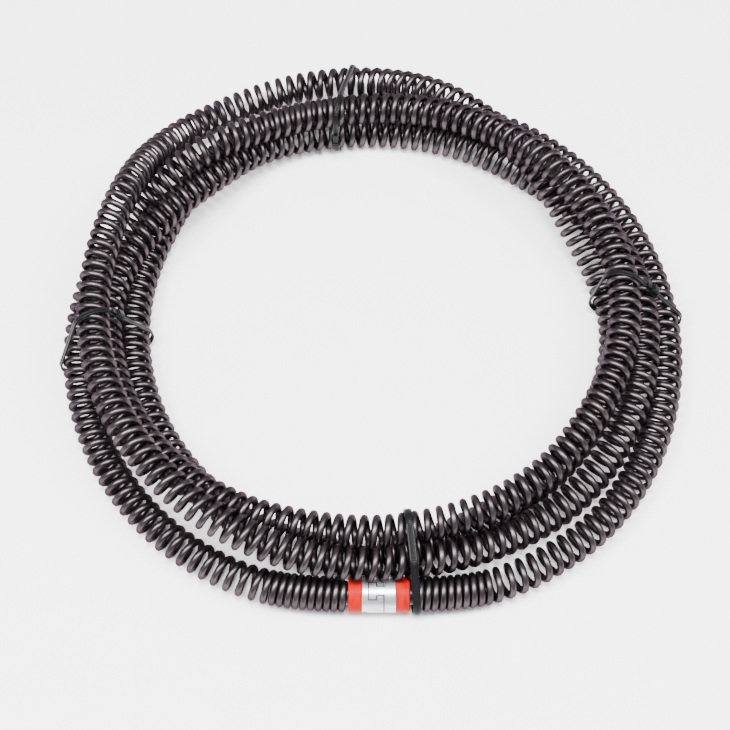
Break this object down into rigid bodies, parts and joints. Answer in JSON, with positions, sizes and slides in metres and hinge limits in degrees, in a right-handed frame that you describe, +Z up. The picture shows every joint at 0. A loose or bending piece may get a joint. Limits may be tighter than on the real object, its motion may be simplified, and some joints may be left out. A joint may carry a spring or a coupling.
{
  "type": "drain auger",
  "caption": "Coiled open-wound drain cleaning spiral with its ends hooked together by a spring-locked T-slot coupling and held by cable ties.",
  "frame": {"origin": "under the middle of the bundle, on the floor that the ties' straps rest on", "axes": "+Z up from the floor; -Y towards the side of the bundle where the coupling is; +X along the coupling, from its slotted half to its hooked half"},
  "size_m": [0.4159, 0.4231, 0.0675],
  "materials": {
    "spiral_wire": "dark phosphated, satin",
    "coupling_steel": "turned, satin",
    "marker_ring": "orange-red, satin",
    "lock_steel": "ground",
    "tie_nylon": "black nylon, satin"
  },
  "bodies": {
    "bundle": {"spiral_turn_1": "spiral_wire", "spiral_turn_2": "spiral_wire", "spiral_turn_3": "spiral_wire", "spiral_turn_4": "spiral_wire", "spiral_end_left": "spiral_wire", "spiral_end_right": "spiral_wire", "coupling_female": "coupling_steel", "coupling_male": "coupling_steel", "marker_ring_left": "marker_ring", "marker_ring_right": "marker_ring", "lock_spring": "lock_steel", "spring_plug": "lock_steel", "tie_front": "tie_nylon", "tie_left": "tie_nylon", "tie_back": "tie_nylon", "tie_right": "tie_nylon"},
    "plunger": {"lock_plunger": "lock_steel"}
  },
  "joints": [
    {"name": "lock_plunger_slide", "type": "slide", "parent": "bundle", "child": "plunger", "axis": [1, 0, 0], "range_m": [0, 0.0022], "stiffness_N_per_m": 600, "springref_m": -0.002, "deforming": ["lock_spring"]}
  ]
}
